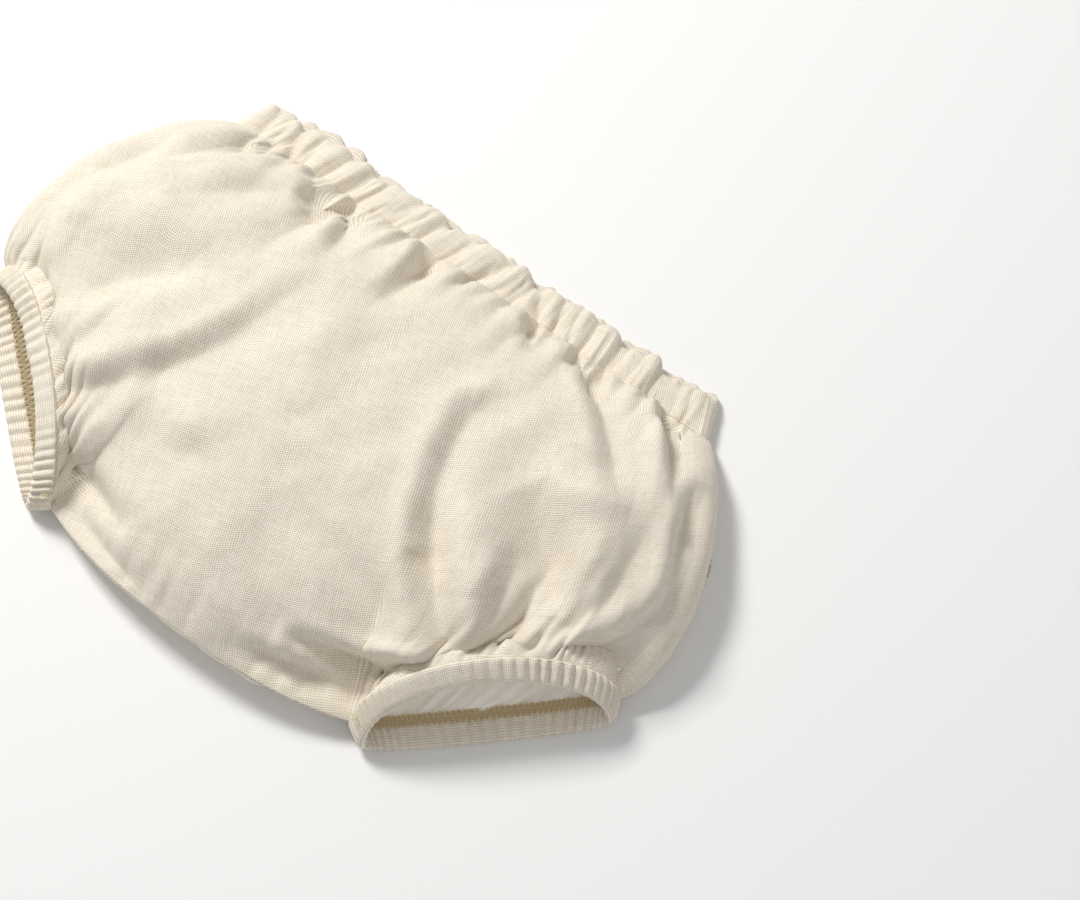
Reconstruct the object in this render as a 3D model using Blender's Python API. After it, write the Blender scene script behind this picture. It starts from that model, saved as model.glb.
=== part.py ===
"""Gathered baby bloomers, laid on their back with the air still in them.

A waist casing, a front and a back panel, two leg bands and a loose lining of
each panel. X runs along the waist, Y from the crotch up to the waist, and Z up
from the surface that the cloth lies on. Sizes are in millimetres until a mesh
is made. Y is counted from the top edge of the waist until then, too.
"""

import math

import bmesh
import bpy
import numpy as np

MM = 0.001

# The whole garment, laid out
MIDDLE_Y = -91.0  # halfway between the waist's top edge and the crotch
WAIST_SEAM_HALF = 110.0  # half the seam under the waist casing
CASING_TOP_HALF = 103.5  # half the casing's top edge
CROWN_HEIGHT = 32.0  # how far the air lifts the front above its own edges

# Cloth
PANEL_WALL = 1.2
LINING_WALL = 1.0
SEAM_GAP = 0.3  # between pieces that are sewn together
BEND_SLACK = 0.2  # more room where a panel bends away from a leg band
PANEL_PARTING = 0.32  # each panel's distance from the crotch seam, in Y and in Z

# Waist casing: a strip folded over an elastic, front half lying on the back half
CASING_DEPTH = 15.5
CASING_WALL = 2.8
CASING_BACK_Z = 1.5
CASING_FRONT_Z = 5.4
CASING_GATHERS = 17
CASING_GATHER_RISE = 2.8
CASING_GATHER_LEAN = 5.0  # how far a gather moves sideways down the casing
CASING_SCALLOP = 1.3
BACK_CASING_PEEK = 2.6  # the back of the waist shows above the front

# Leg band: a narrow folded strip round the leg, its lower half on the surface
RING_CENTRE = (108.0, -152.0)
RING_TURN = math.radians(41.9)  # the opening's long axis, turned from X
RING_HALF = 43.5
RING_SHIFT = 1.8
RING_END_Z = 4.5
RING_TOP_Z = 27.0
RING_LOW_Z = 1.5
RING_SETBACK = 12.5  # the upper half lies this far up the leg from the lower
RING_STEP = 2.5
BAND_DEPTH = 9.3
BAND_WALL = 2.8
BAND_RIBS = 40
BAND_RIB_RISE = 0.9

# Outlines of the strips when cut across: share of the depth, share of half the wall, share of a rib
BAND_PROFILE = (
    (0.0, 0.75, 0.3),
    (0.55, 1.0, 1.0),
    (1.0, 0.0, 0.0),
    (0.6, -1.0, 0.0),
    (0.0, -0.75, 0.0),
)
CASING_PROFILE = ((0.0, 0.0), (0.22, 1.0), (0.7, 1.0), (1.0, 0.7), (1.0, -0.7), (0.25, -1.0))

# Side seams and crotch
SIDE_BEND_HIGH = (131.0, -32.0)
SIDE_BEND_LOW = (160.0, -88.0)
SIDE_RISE = 8.5  # the side seam's height above a straight line between its ends
CROTCH_SHARE = 0.30  # of each panel's half width
CROTCH_Y = -187.0
CROTCH_Z = 16.5
SEAM_ANGLE = 0.02  # each panel's distance from the ends of its half of a leg opening
INNER_END_DRAW = 90.0  # how strongly the front is drawn back from the openings' inner ends
CROTCH_ROUND = 16.0  # reach of the back panel's turn under the crotch
TURN_FROM = 0.64  # the share of the back panel that is flat before that turn

# Linings: share of the panel's length, distance under the panel at the seams and inside
FRONT_LINING = (0.95, 7.1, 12.7)
BACK_LINING = (TURN_FROM, 1.5, 1.5)

# Gathers that run out of the seams into the front panel
LEG_GATHERS = 9
GATHER_HALF = 3.4
WAIST_GATHER_LENGTH = 17.0
LEG_GATHER_LENGTH = 16.0
WAIST_GATHER_DEPTH = 3.0
LEG_GATHER_DEPTH = 3.4

DEEPEST_FOLD = 7.5

# Main folds: start, middle and end (x, y), half width, depth at each end.
# A negative depth is a ridge. The leg folds are made on both legs.
LEG_FOLDS = (
    ((39, -70), (46, -100), (91, -139), 7.0, 3.5, 6.5),
    ((34, -84), (49, -117), (81, -147), 8.0, -2.0, -3.0),
    ((72, -90), (85, -94), (98, -92), 12.0, 4.5, 6.5),
    ((87, -100), (90, -121), (94, -137), 4.5, 3.0, 5.0),
    ((99, -101), (101, -120), (103, -133), 4.5, 3.0, 5.0),
    ((114, -62), (119, -84), (121, -116), 6.0, 2.0, 5.0),
    ((136, -74), (137, -92), (126, -118), 5.5, 3.5, 6.5),
    ((143, -95), (136, -108), (130, -119), 4.0, 2.5, 4.0),
    ((54, -17), (80, -38), (100, -63), 6.5, 4.0, 6.0),
    ((88, -72), (96, -68), (103, -66), 7.0, -3.0, -3.0),
    ((92, -18), (107, -34), (119, -51), 5.0, 5.5, 3.0),
    ((84, -18), (104, -44), (125, -60), 6.0, -2.5, -3.0),
    ((118, -36), (126, -52), (136, -74), 4.5, 3.0, 4.5),
    ((46, -163), (60, -159), (76, -153), 4.5, 4.0, 6.0),
    ((34, -176), (54, -170), (74, -161), 4.5, 4.0, 5.0),
)
FRONT_FOLDS = (
    ((-46, -17), (-43, -29), (-43, -40), 5.0, 5.5, 3.0),
    ((-14, -17), (-13, -28), (-16, -46), 4.5, 5.0, 1.5),
    ((-66, -17), (-60, -28), (-54, -38), 5.0, 3.5, 1.5),
    ((30, -17), (33, -22), (36, -30), 4.0, 4.5, 2.0),
    ((-30, -52), (-21, -74), (-11, -100), 9.0, -2.5, -1.5),
    ((0, -120), (8, -142), (22, -160), 11.0, 1.5, 3.0),
)
LEFT_LEG_SQUEEZE = 0.97  # the left leg's folds fall a little nearer the middle
LEFT_LEG_DROP = 3.0

# How finely each piece is cut
FRONT_COLUMNS, FRONT_ROWS = (14, 30), 14
BACK_COLUMNS, BACK_ROWS, TURN_ROWS = (7, 15), 7, 5
LINING_COLUMNS, LINING_ROWS = (4, 11), 8
LINING_REACH = 0.965  # share of the panel's width
RIB_COLUMNS = 4
CASING_FRONT_COLUMNS, CASING_BACK_COLUMNS, CASING_END_COLUMNS = 86, 60, 4


def mix(a, b, share):
    return a + (b - a) * share


def bezier(a, b, c, d, t):
    u = 1 - t
    return u**3 * a + 3 * u * u * t * b + 3 * u * t * t * c + t**3 * d


def unit(vectors):
    return vectors / np.maximum(np.linalg.norm(vectors, axis=-1, keepdims=True), 1e-9)


def points(x, y, z):
    return np.stack(np.broadcast_arrays(x, y, z), axis=-1).astype(float)


def uneven(number, trait):
    """A fixed value from -1 to 1 that differs for each number and trait."""
    wave = math.sin(number * 12.9898 + trait * 78.233) * 43758.5453
    return 2 * (wave - math.floor(wave)) - 1


# Leg bands


def ring_place(along, out, up, side):
    """From the leg opening's own axes to the garment's, side 1 or -1."""
    cos_turn, sin_turn = math.cos(RING_TURN), math.sin(RING_TURN)
    x = RING_CENTRE[0] + along * cos_turn + out * sin_turn
    y = RING_CENTRE[1] + along * sin_turn - out * cos_turn
    return points(side * x, y, up)


def ring_surface(angle, depth, side):
    """Middle of the leg band: angle 0 is the side seam and pi the crotch, depth 0 the sewn edge."""
    high = np.maximum(np.sin(angle), 0)
    low = np.maximum(-np.sin(angle), 0)
    along = RING_SHIFT + RING_HALF * np.cos(angle)
    out = RING_STEP * low**0.8 - RING_SETBACK * high**1.2
    up = RING_END_Z + (RING_TOP_Z - RING_END_Z) * high**0.85
    up = up - (RING_END_Z - RING_LOW_Z) * low**0.5
    back = 1 - depth
    along = along + 3.0 * np.cos(angle) * back
    out = out - (BAND_DEPTH - 1.6 * np.sin(angle)) * back
    up = up + (2.8 + 2.2 * np.sin(angle)) * back
    return ring_place(along, out, up, side)


def ring_normal(angle, depth, side):
    step = 0.02
    round_it = ring_surface(angle + step, depth, side) - ring_surface(angle - step, depth, side)
    across = ring_surface(angle, depth + step, side) - ring_surface(angle, depth - step, side)
    return unit(np.cross(round_it, across)) * side


def ring_seam(angle, side):
    """Where a panel ends: a gap short of the band."""
    return ring_surface(angle, -(SEAM_GAP + BEND_SLACK) / BAND_DEPTH, side)


# Waist


def casing_wave(x):
    """Height of the casing's gathers along the waist, from 0 in a crease to 1 on a ridge."""
    turns = x * CASING_GATHERS / (2 * CASING_TOP_HALF)
    turns = turns + 0.28 * np.sin(x / 19.0) + 0.16 * np.sin(x / 8.3 + 1.0)
    strength = 0.78 + 0.22 * np.sin(x / 13.7 + 0.6)
    return strength * (0.5 + 0.5 * np.cos(2 * math.pi * turns)) ** 0.8


def waist_fade(x):
    """The gathers die out where the waist turns over to the back."""
    return 1 - (np.abs(x) / WAIST_SEAM_HALF) ** 10


def waist_seam(s, face):
    """The seam under the casing, s from -1 to 1. Face 1 is the front and -1 the back."""
    x = WAIST_SEAM_HALF * s
    z = CASING_BACK_Z
    if face > 0:
        z = CASING_FRONT_Z + CASING_GATHER_RISE * casing_wave(x - CASING_GATHER_LEAN)
    turned_z = (CASING_FRONT_Z + CASING_BACK_Z) / 2 + PANEL_PARTING * face
    return points(x, -CASING_DEPTH - SEAM_GAP, mix(z, turned_z, np.abs(s) ** 10))


# Panels


def side_seam(t, side):
    low = ring_seam(0.0, 1)
    x = bezier(WAIST_SEAM_HALF, SIDE_BEND_HIGH[0], SIDE_BEND_LOW[0], low[0], t)
    y = bezier(-CASING_DEPTH - SEAM_GAP, SIDE_BEND_HIGH[1], SIDE_BEND_LOW[1], low[1], t)
    z = mix((CASING_FRONT_Z + CASING_BACK_Z) / 2, low[2], t) + SIDE_RISE * np.sin(math.pi * t) ** 0.8
    return points(side * x, y, z)


def crotch_seam(s):
    end = ring_seam(math.pi, 1)
    share = s / CROTCH_SHARE
    y = mix(CROTCH_Y, end[1], np.abs(share) ** 2.6)
    z = mix(CROTCH_Z, end[2], share**2)
    return points(end[0] * share, y, z)


def leg_angle(s, face):
    """Place round the leg opening of each column of a panel."""
    return face * mix(math.pi - SEAM_ANGLE, SEAM_ANGLE, (np.abs(s) - CROTCH_SHARE) / (1 - CROTCH_SHARE))


def bottom_edge(s, face):
    """The panel's lower edge: the crotch seam in the middle, half of a leg opening on each side."""
    angle = leg_angle(s, face)
    leg = np.where((s < 0)[..., None], ring_seam(angle, -1), ring_seam(angle, 1))
    middle = crotch_seam(np.clip(s, -CROTCH_SHARE, CROTCH_SHARE))
    parted = points(0, PANEL_PARTING * face, PANEL_PARTING * face)
    return np.where((np.abs(s) < CROTCH_SHARE)[..., None], middle, leg) + parted


def bottom_normal(s, face):
    angle = leg_angle(s, face)
    leg = np.where((s < 0)[..., None], ring_normal(angle, 0.0, -1), ring_normal(angle, 0.0, 1))
    middle = unit(points(0.0 * s, -0.7, 0.7))
    return np.where((np.abs(s) < CROTCH_SHARE)[..., None], middle, leg)


def with_sides(plain, s, t, face):
    """A plain surface with its ends moved out to the side seams, and the rest in step."""
    grid = plain(s, t)
    right = side_seam(t, 1) - plain(np.ones_like(s), t)
    left = side_seam(t, -1) - plain(-np.ones_like(s), t)
    share = (1 + s[..., None]) / 2
    grid[..., :2] += share * right[..., :2] + (1 - share) * left[..., :2]
    if face > 0:
        turn = np.abs(s) ** 4
    else:
        flat = np.clip((np.abs(s) - 0.86) / 0.14, 0, 1)
        turn = 1 - np.sqrt(1 - flat**2)
    grid[..., 2] += turn * np.where(s > 0, right[..., 2], left[..., 2])
    grid[..., 2] += PANEL_PARTING * face * np.abs(s) ** 20
    return grid


def plain_front(s, t):
    """Smooth from waist to hem, with each edge's own ups and downs kept close to that edge."""
    out, size = np.sign(s), np.abs(s)
    end = ring_seam(0.0, 1)
    hem_x = end[0] * (1.25 * size - 0.25 * size**2)
    hem_y = mix(CROTCH_Y, end[1], size**1.6)
    hem = points(out * hem_x, hem_y, mix(CROTCH_Z, end[2], size**4))
    level_z = (CASING_FRONT_Z + CASING_BACK_Z) / 2
    level = points(WAIST_SEAM_HALF * s, -CASING_DEPTH - SEAM_GAP, level_z)
    grid = mix(level, hem, t[..., None])
    grid += (waist_seam(s, 1) - level) * ((1 - t) ** 12)[..., None]
    bottom = bottom_edge(s, 1) - hem
    grid[..., :2] += bottom[..., :2] * (t**3.5)[..., None]
    grid[..., 2] += bottom[..., 2] * t**6
    near = np.exp(-(((size - CROTCH_SHARE) / 0.13) ** 2)) * (1 - t) * t**7
    grid[..., 0] -= out * INNER_END_DRAW * math.sin(RING_TURN) * near
    grid[..., 1] += INNER_END_DRAW * math.cos(RING_TURN) * near
    return grid


def front_surface(s, t):
    """The front panel's middle before it is folded."""
    grid = with_sides(plain_front, s, t, 1)
    across = np.clip(1 - np.abs(s) ** 3, 0, 1) ** 0.55
    along = np.clip(4 * t * (1 - t), 0, 1) ** 0.6
    dip = 1 - 0.45 * np.exp(-(((np.abs(s) - CROTCH_SHARE) / 0.1) ** 2) - ((1 - t) / 0.12) ** 2)
    grid[..., 2] += CROWN_HEIGHT * across * along * dip
    return grid


def plain_back(s, t):
    """Flat on the surface as far as the turn, then up to the bottom edge."""
    edge = bottom_edge(s, -1)
    middle = np.clip(1 - (np.abs(s) / CROTCH_SHARE) ** 4, 0, 1)
    outward = unit(points(np.sin(RING_TURN) * (1 - middle) * np.sign(s), -1.0, 0.0 * s))
    floor = edge - outward * 5.0
    floor[..., 2] = PANEL_WALL / 2
    bend_low = floor + outward * mix(2.0, CROTCH_ROUND, middle)[..., None]
    bend_high = edge + outward * mix(-2.0, 9.0, middle)[..., None]
    bend_high[..., 2] = edge[..., 2] - mix(0.5, 7.0, middle)
    main = np.clip(t / TURN_FROM, 0, 1)[..., None]
    grid = mix(waist_seam(s, -1), floor, main)
    grid[..., 2] = mix(PANEL_WALL / 2, grid[..., 2], (1 - main[..., 0]) ** 8)
    turn = np.clip((t - TURN_FROM) / (1 - TURN_FROM), 0, 1)[..., None]
    return np.where(turn > 0, bezier(floor, bend_low, bend_high, edge, turn), grid)


def back_surface(s, t):
    """The back panel's middle: flat on the surface, turned up at the sides and round the crotch."""
    return with_sides(plain_back, s, t, -1)


def normals(surface, s, t, face):
    """Outward directions, set by the seams along the four edges so that pieces meet squarely."""
    step = 0.004
    across = surface(np.clip(s + step, -1, 1), t) - surface(np.clip(s - step, -1, 1), t)
    down = surface(s, np.clip(t + step, 0, 1)) - surface(s, np.clip(t - step, 0, 1))
    normal = unit(np.cross(down, across)) * face
    end = np.abs(s) ** 10
    waist = unit(points(np.sign(s) * end, 0.0 * s, face * (1 - end)))
    normal = np.where((t < 0.001)[..., None], waist, normal)
    normal = np.where((t > 0.999)[..., None], bottom_normal(s, face), normal)
    level = unit(normal * np.array((1, 1, 0)) + points(np.sign(s) * 0.001, 0, 0))
    return np.where((np.abs(s) > 0.999)[..., None], level, normal)


# Folds of the front panel


def fold_depth(x, y, fold):
    """Depth of one fold at each point: full along its curve and fading across half its width."""
    start, middle, end, half, depth_start, depth_end = fold
    bend = 2 * np.array(middle) - (np.array(start) + np.array(end)) / 2
    nearest = np.full(x.shape, 1e9)
    depth = np.zeros(x.shape)
    for share in np.linspace(0, 1, 13):
        here = mix(mix(np.array(start), bend, share), mix(bend, np.array(end), share), share)
        distance = np.hypot(x - here[0], y - here[1])
        closer = distance < nearest
        nearest = np.where(closer, distance, nearest)
        depth = np.where(closer, mix(depth_start, depth_end, share), depth)
    return depth * np.exp(-((nearest / half) ** 2))


def waist_gathers():
    """Short folds that hang from the casing, uneven in place, length, depth and lean."""
    pitch = 2 * CASING_TOP_HALF / CASING_GATHERS
    for number in range(CASING_GATHERS):
        x = (number - (CASING_GATHERS - 1) / 2 + 0.3 * uneven(number, 1)) * pitch
        length = WAIST_GATHER_LENGTH * (1 + 0.5 * uneven(number, 2))
        depth = WAIST_GATHER_DEPTH * (1 + 0.4 * uneven(number, 3))
        lean = 0.25 * x / CASING_TOP_HALF + 0.25 * uneven(number, 4)
        start = (x, -CASING_DEPTH - 3.0)
        end = (x + lean * length, -CASING_DEPTH - 3.0 - length)
        middle = ((start[0] + end[0]) / 2, (start[1] + end[1]) / 2)
        yield start, middle, end, GATHER_HALF, depth, 0.4 * depth


def leg_gathers(side):
    """Folds that fan out from a leg band's upper half."""
    for number in range(LEG_GATHERS):
        angle = math.pi * (number + 0.5 + 0.25 * uneven(number, 5 + side)) / LEG_GATHERS
        length = LEG_GATHER_LENGTH * (1 + 0.5 * uneven(number, 7 + side))
        depth = LEG_GATHER_DEPTH * (1 + 0.4 * uneven(number, 9 + side))
        start = ring_surface(angle, -0.35, side)
        end = ring_surface(angle, -0.35 - length / BAND_DEPTH, side)
        spread = RING_HALF * 0.3 * math.cos(angle) * length / LEG_GATHER_LENGTH
        end[0] += side * spread * math.cos(RING_TURN)
        end[1] += spread * math.sin(RING_TURN)
        middle = (start + end) / 2
        yield start[:2], middle[:2], end[:2], GATHER_HALF, depth, 0.4 * depth


def on_left(fold):
    moved = [(-LEFT_LEG_SQUEEZE * x, y - LEFT_LEG_DROP) for x, y in fold[:3]]
    return *moved, *fold[3:]


def front_folds():
    yield from LEG_FOLDS
    yield from map(on_left, LEG_FOLDS)
    yield from FRONT_FOLDS
    yield from waist_gathers()
    for side in (1, -1):
        yield from leg_gathers(side)


def front_relief(grid, s, t):
    """Height of the folds over the plain front, held down beside the seams."""
    x, y = grid[..., 0], grid[..., 1]
    depth = sum(fold_depth(x, y, fold) for fold in front_folds())
    depth = DEEPEST_FOLD * np.tanh(depth / DEEPEST_FOLD)
    ease = np.clip(t / 0.09, 0, 1) * np.clip((1 - t) / 0.09, 0, 1)
    ease = ease * np.clip((1 - np.abs(s)) / 0.05, 0, 1)
    corner = np.exp(-(((np.abs(s) - CROTCH_SHARE) / 0.07) ** 2) - ((1 - t) / 0.1) ** 2)
    return -depth * ease**0.7 * (1 - corner)


# Meshes


def columns(crotch_count, leg_count):
    """Column places from -1 to 1, one on each end of the crotch seam, closer together towards the sides."""
    even = np.linspace(0, 1, leg_count + 1)[1:]
    leg = mix(CROTCH_SHARE, 1, mix(even, np.sin(even * math.pi / 2), 0.4))
    half = np.concatenate([np.linspace(0, CROTCH_SHARE, crotch_count + 1), leg])
    return np.concatenate([-half[:0:-1], half])


def rows(count):
    """Row places from 0 to 1, closer together towards both seams."""
    even = np.linspace(0, 1, count + 1)
    return mix(even, (1 - np.cos(math.pi * even)) / 2, 0.75)


def mesh_object(name, vertices, faces, material):
    mesh = bpy.data.meshes.new(name)
    placed = (np.array(vertices) - (0, MIDDLE_Y, 0)) * MM
    mesh.from_pydata(placed.tolist(), [], faces)
    body = bmesh.new()
    body.from_mesh(mesh)
    bmesh.ops.recalc_face_normals(body, faces=body.faces)
    body.to_mesh(mesh)
    body.free()
    mesh.shade_smooth()
    mesh.materials.append(material)
    made = bpy.data.objects.new(name, mesh)
    bpy.context.scene.collection.objects.link(made)
    return made


def shell(name, outer, inner, material):
    """A closed wall between two grids of points."""
    row_count, column_count = outer.shape[:2]
    size = row_count * column_count

    def corner(row, column, layer):
        return layer * size + row * column_count + column

    faces = []
    for row in range(row_count - 1):
        for column in range(column_count - 1):
            around = ((row, column), (row, column + 1), (row + 1, column + 1), (row + 1, column))
            faces.append([corner(*place, 0) for place in around])
            faces.append([corner(*place, 1) for place in reversed(around)])
    rim = [(0, column) for column in range(column_count)]
    rim += [(row, column_count - 1) for row in range(1, row_count)]
    rim += [(row_count - 1, column) for column in range(column_count - 2, -1, -1)]
    rim += [(row, 0) for row in range(row_count - 2, 0, -1)]
    for first, second in zip(rim, rim[1:] + rim[:1]):
        faces.append([corner(*second, 0), corner(*first, 0), corner(*first, 1), corner(*second, 1)])
    vertices = np.concatenate([outer.reshape(-1, 3), inner.reshape(-1, 3)])
    vertices[:, 2] = np.maximum(vertices[:, 2], 0)
    return mesh_object(name, vertices, faces, material)


def hoop(name, sections, material):
    """A closed band through sections of equal count, joined end to end."""
    station_count, point_count = sections.shape[:2]
    faces = []
    for station in range(station_count):
        following = (station + 1) % station_count
        for place in range(point_count):
            beside = (place + 1) % point_count
            faces.append(
                [
                    station * point_count + place,
                    station * point_count + beside,
                    following * point_count + beside,
                    following * point_count + place,
                ]
            )
    vertices = sections.reshape(-1, 3).copy()
    vertices[:, 2] = np.maximum(vertices[:, 2], 0)
    return mesh_object(name, vertices, faces, material)


def linen(name, colour):
    material = bpy.data.materials.new(name)
    material.use_nodes = True
    shader = material.node_tree.nodes["Principled BSDF"]
    shader.inputs["Base Color"].default_value = (*colour, 1)
    shader.inputs["Roughness"].default_value = 0.9
    shader.inputs["Metallic"].default_value = 0
    return material


# Pieces


def make_front_panel(material):
    s, t = np.meshgrid(columns(*FRONT_COLUMNS), rows(FRONT_ROWS))
    grid = front_surface(s, t)
    normal = normals(front_surface, s, t, 1)
    relief = front_relief(grid, s, t)[..., None]
    outer = grid + normal * (relief + PANEL_WALL / 2)
    inner = grid + normal * (relief - PANEL_WALL / 2)
    return shell("front_panel", outer, inner, material)


def back_rows():
    flat = np.linspace(0, TURN_FROM, BACK_ROWS + 1)
    return np.concatenate([flat[:-1], np.linspace(TURN_FROM, 1, TURN_ROWS + 1)])


def make_back_panel(material):
    s, t = np.meshgrid(columns(*BACK_COLUMNS), back_rows())
    grid = back_surface(s, t)
    normal = normals(back_surface, s, t, -1)
    outer = grid + normal * PANEL_WALL / 2
    inner = grid - normal * PANEL_WALL / 2
    return shell("back_panel", outer, inner, material)


def make_lining(name, surface, face, sizes, material):
    """A loose layer under a panel, from the same surface moved in, with its edges close to the seams."""
    last_row, depth_at_seams, depth_inside = sizes
    s, share = np.meshgrid(columns(*LINING_COLUMNS) * LINING_REACH, rows(LINING_ROWS))
    opening_end = np.exp(-(((np.abs(s) - CROTCH_SHARE) / 0.09) ** 2))
    t = mix(0.03, last_row - 0.1 * opening_end, share)
    edge = np.clip(np.minimum(share, 1 - share) / 0.07, 0, 1)
    inside = edge * np.clip(1 - np.abs(s) ** 14, 0, 1)
    depth = mix(depth_at_seams, depth_inside, inside)[..., None]
    place = surface(s, t)
    normal = normals(surface, s, t, face)
    return shell(name, place - normal * depth, place - normal * (depth + LINING_WALL), material)


def make_leg_band(name, side, material):
    """A folded strip: ribbed outside, plain inside and flat underneath."""
    angles = np.arange(BAND_RIBS * RIB_COLUMNS) * 2 * math.pi / (BAND_RIBS * RIB_COLUMNS)
    unevenly = 0.9 * np.sin(angles * 5) + 0.5 * np.sin(angles * 11)
    rib = 0.5 + 0.5 * np.cos(angles * BAND_RIBS + unevenly)
    half = BAND_WALL / 2
    sections = []
    for depth, height, ribbed in BAND_PROFILE:
        lift = half * height + BAND_RIB_RISE * ribbed * rib
        place = ring_surface(angles, depth, side) + ring_normal(angles, depth, side) * lift[:, None]
        sections.append(place)
    return hoop(name, np.stack(sections, axis=1), material)


def make_waist_casing(material):
    """The casing: its front half lies on its back half, and it turns over at each side."""
    turn = np.linspace(0, math.pi, CASING_END_COLUMNS + 2)[1:-1]
    front = np.linspace(1, -1, CASING_FRONT_COLUMNS)
    back = np.linspace(-1, 1, CASING_BACK_COLUMNS)
    share = np.concatenate([front, 0 * turn - 1, back, 0 * turn + 1])
    lift = np.concatenate([0 * front + 1, np.cos(turn), 0 * back - 1, -np.cos(turn)])
    swing = np.concatenate([0 * front, -np.sin(turn), 0 * back, np.sin(turn)])
    radius = (CASING_FRONT_Z - CASING_BACK_Z) / 2
    half = CASING_WALL / 2
    sections = []
    for depth, height in CASING_PROFILE:
        x = share * (mix(CASING_TOP_HALF, WAIST_SEAM_HALF, depth) - radius - half)
        upper = (1 + lift) / 2
        wave = casing_wave(x - CASING_GATHER_LEAN * depth) * waist_fade(x)
        peek = BACK_CASING_PEEK * (1 + np.exp(-(((x + 72) / 18) ** 2))) * (1 - upper)
        scallop = CASING_SCALLOP * (np.where(upper > 0.5, wave, casing_wave(x + 6)) - 0.5)
        y = -CASING_DEPTH * depth + (peek + scallop * waist_fade(x)) * (1 - depth)
        z = mix(CASING_BACK_Z, CASING_FRONT_Z, upper) + CASING_GATHER_RISE * wave * upper**2
        middle = points(x + radius * swing, y, z)
        sections.append(middle + points(swing, 0, lift) * half * height)
    return hoop("waist_casing", np.stack(sections, axis=1), material)


def main():
    for old in list(bpy.data.objects):
        bpy.data.objects.remove(old)
    cloth = linen("natural_linen", (0.80, 0.73, 0.61))
    voile = linen("white_voile", (0.86, 0.84, 0.80))
    make_front_panel(cloth)
    make_back_panel(cloth)
    make_waist_casing(cloth)
    make_leg_band("leg_band_right", 1, cloth)
    make_leg_band("leg_band_left", -1, cloth)
    make_lining("lining_front", front_surface, 1, FRONT_LINING, voile)
    make_lining("lining_back", back_surface, -1, BACK_LINING, voile)


main()
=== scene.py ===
"""Looks of the baby bloomers: gathered linen cloth, elastic casing and leg bands, voile lining and stitches.

The cloth follows the part's own formulas, cut finer and with its smaller folds. Sizes are in millimetres
until a mesh is made, and Y is counted from the top edge of the waist, as in the part's source.
"""

import math

import bmesh
import bpy
import numpy as np
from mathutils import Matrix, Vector


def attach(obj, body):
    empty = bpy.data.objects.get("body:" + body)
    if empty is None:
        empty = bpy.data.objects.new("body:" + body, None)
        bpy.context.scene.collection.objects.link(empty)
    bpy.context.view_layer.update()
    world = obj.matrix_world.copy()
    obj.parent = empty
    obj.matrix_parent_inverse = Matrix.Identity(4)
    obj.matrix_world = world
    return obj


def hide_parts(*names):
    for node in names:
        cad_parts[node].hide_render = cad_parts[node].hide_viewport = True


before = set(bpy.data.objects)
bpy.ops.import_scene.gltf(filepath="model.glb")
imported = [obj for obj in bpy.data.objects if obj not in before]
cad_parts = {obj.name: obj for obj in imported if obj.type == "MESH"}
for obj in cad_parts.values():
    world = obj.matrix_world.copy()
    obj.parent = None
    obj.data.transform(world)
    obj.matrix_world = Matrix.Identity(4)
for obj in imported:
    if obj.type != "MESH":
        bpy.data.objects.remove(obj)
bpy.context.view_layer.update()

MM = 0.001

# The whole garment, laid out
MIDDLE_Y = -91.0
WAIST_SEAM_HALF = 110.0
CASING_TOP_HALF = 103.5
CROWN_HEIGHT = 32.0
CROWN_BREADTH = 4.4
CROWN_RISE_WAIST, CROWN_RISE_LEG = 0.6, 0.8
PANEL_REST_Z = 0.6

# Cloth
CLOTH_WALL = 0.6
VOILE_WALL = 0.25
SEAM_TUCK = 1.2  # how far a panel's edge runs in under a band or the casing
LOWEST_Z = 0.02  # no cloth lies lower than this

# Waist casing
CASING_DEPTH = 15.5
CASING_WALL = 2.8
CASING_BACK_Z = 1.5
CASING_FRONT_Z = 5.4
CASING_RISE = 3.8
CASING_WAVE_LEVEL = 0.25  # the part of that rise which lies below the middle
CASING_SCALLOP = 3.6
BACK_CASING_PEEK = 2.6

# Creases of the casing: x at its middle, shift down its depth, strength, reach below it, drift there
CREASES = (
    (-98.5, 0.0, 0.7, 8.0, 1.0),
    (-92.0, 1.0, 0.6, 6.0, 1.0),
    (-85.0, 3.7, 1.0, 5.0, 1.0),
    (-77.0, -2.0, 0.5, 9.0, -1.0),
    (-66.3, -7.6, 0.65, 5.0, -1.0),
    (-54.8, -7.0, 0.8, 6.0, -1.0),
    (-48.7, -4.9, 1.0, 16.0, -4.0),
    (-35.9, -10.0, 0.35, 4.0, -1.0),
    (-28.5, -9.5, 0.6, 5.0, -2.0),
    (-21.1, -7.8, 0.8, 9.0, -3.0),
    (-7.6, -8.9, 0.65, 9.0, -2.0),
    (7.0, -10.0, 0.7, 7.0, -1.0),
    (14.5, -6.0, 0.5, 5.0, -1.0),
    (21.0, -3.0, 0.65, 6.0, 0.0),
    (28.8, 9.0, 0.9, 8.0, -1.0),
    (37.5, 4.0, 0.7, 8.0, 1.0),
    (44.0, 2.0, 0.45, 5.0, 0.0),
    (51.4, 0.0, 0.6, 10.0, 1.0),
    (63.8, -1.0, 1.0, 5.0, 2.0),
    (72.0, 0.5, 0.5, 5.0, 1.0),
    (81.4, 1.5, 1.0, 6.0, 1.0),
    (86.2, 3.4, 0.85, 4.0, 1.0),
    (90.0, 1.4, 1.0, 8.0, 1.0),
    (95.8, 1.9, 0.5, 5.0, 1.0),
    (101.0, 1.0, 0.5, 5.0, 1.0),
)

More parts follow.
